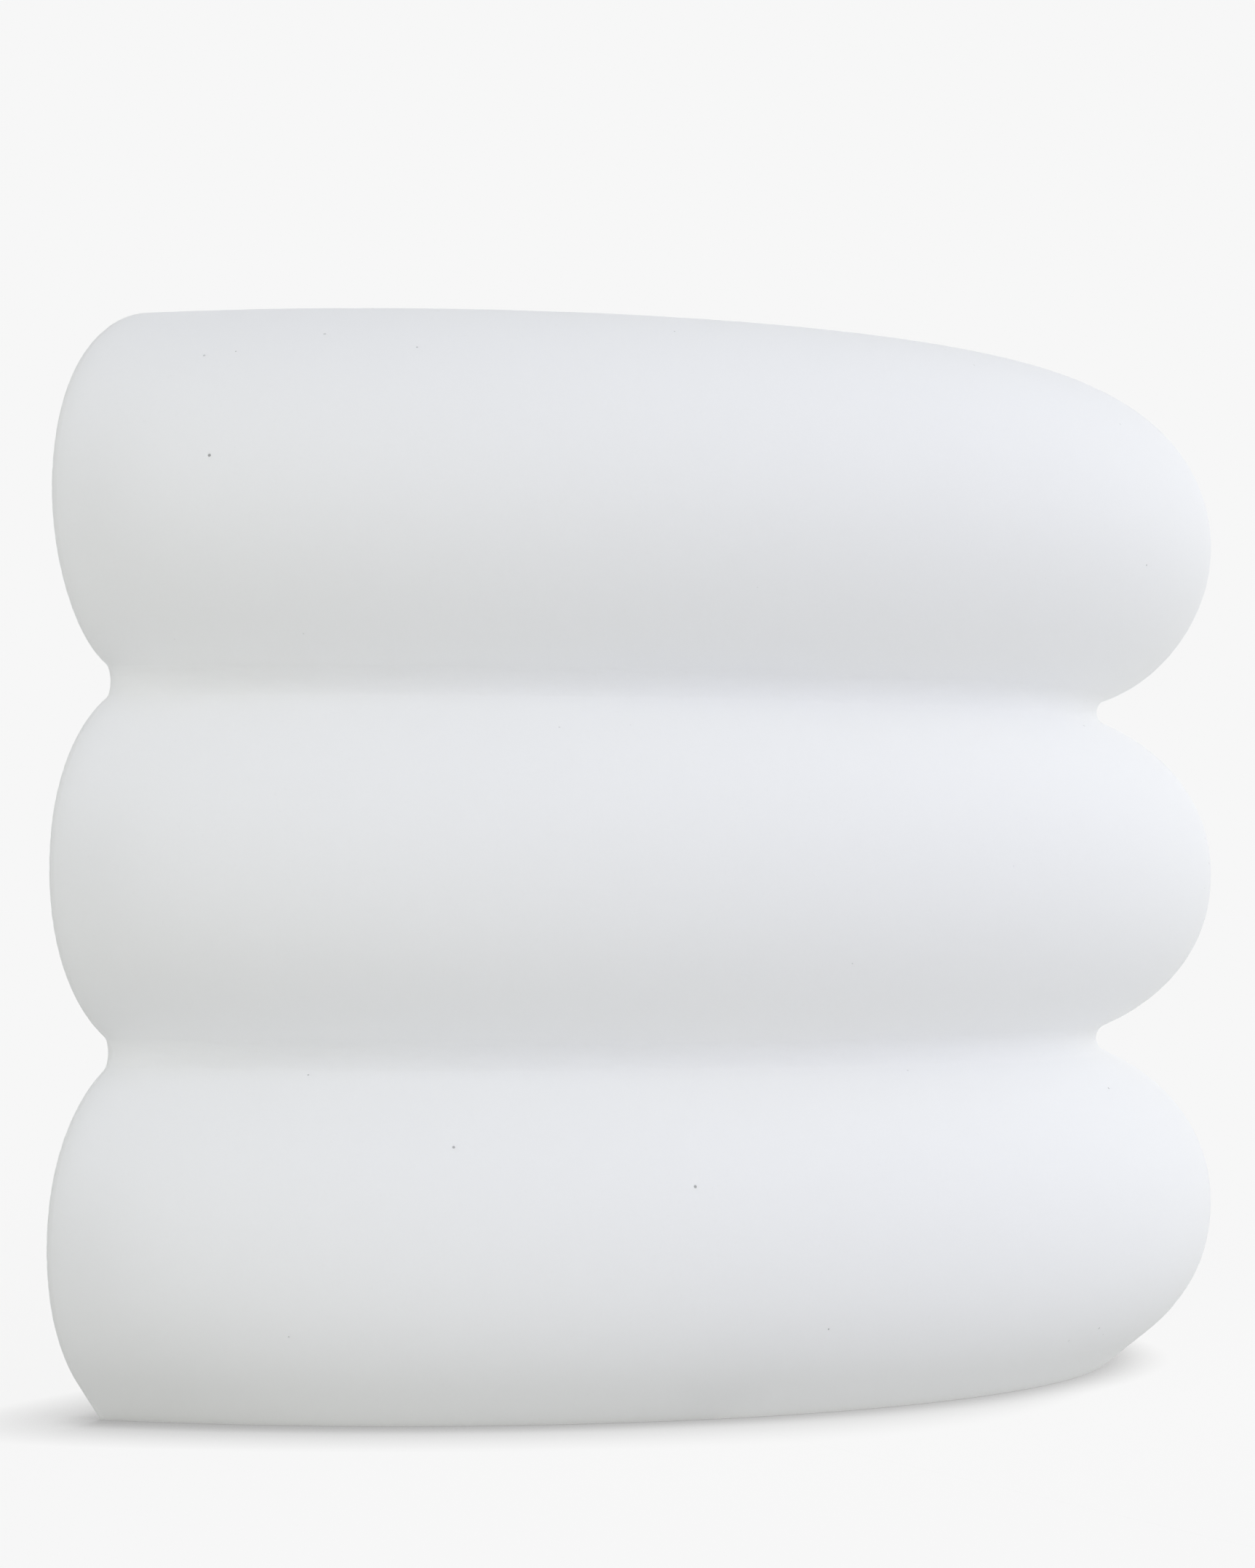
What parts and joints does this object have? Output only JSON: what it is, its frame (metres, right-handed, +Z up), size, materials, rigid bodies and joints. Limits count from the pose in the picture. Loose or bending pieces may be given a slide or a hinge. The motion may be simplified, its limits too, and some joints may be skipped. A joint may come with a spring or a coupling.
{
  "type": "plaster slip casting mold",
  "caption": "Open plaster mold for slip casting a round planter: two rolled half shells that slide together round a lift-out foot plug.",
  "frame": {"origin": "mold axis at the plane the mold stands on, which is the middle of the foot plug's underside", "axes": "+Z up along the mold axis; +Y along the parting normal, from half_a to half_b as it stands drawn back; +X along the parting plane"},
  "size_m": [0.3312, 0.5312, 0.2014],
  "materials": {
    "plaster": "dry matte plaster",
    "natch_female": "satin moulded plastic",
    "natch_male": "satin moulded plastic"
  },
  "bodies": {
    "half_a": {"half_a": "plaster", "cup_left_low": "natch_female", "cup_left_middle": "natch_female", "cup_left_high": "natch_female", "cup_right_low": "natch_female", "cup_right_middle": "natch_female", "cup_right_high": "natch_female", "plug_cup_1": "natch_female", "plug_cup_2": "natch_female", "plug_cup_3": "natch_female"},
    "half_b": {"half_b": "plaster", "knob_left_low": "natch_male", "knob_left_middle": "natch_male", "knob_left_high": "natch_male", "knob_right_low": "natch_male", "knob_right_middle": "natch_male", "knob_right_high": "natch_male"},
    "foot_plug": {"foot_plug": "plaster", "plug_knob_1": "natch_male", "plug_knob_2": "natch_male", "plug_knob_3": "natch_male"}
  },
  "joints": [
    {"name": "half_b_slide", "type": "slide", "parent": "half_a", "child": "half_b", "axis": [0, -1, 0], "range_m": [0, 0.1999]},
    {"name": "plug_lift", "type": "slide", "parent": "half_a", "child": "foot_plug", "axis": [0, 0, 1], "range_m": [0, 0.205]}
  ]
}
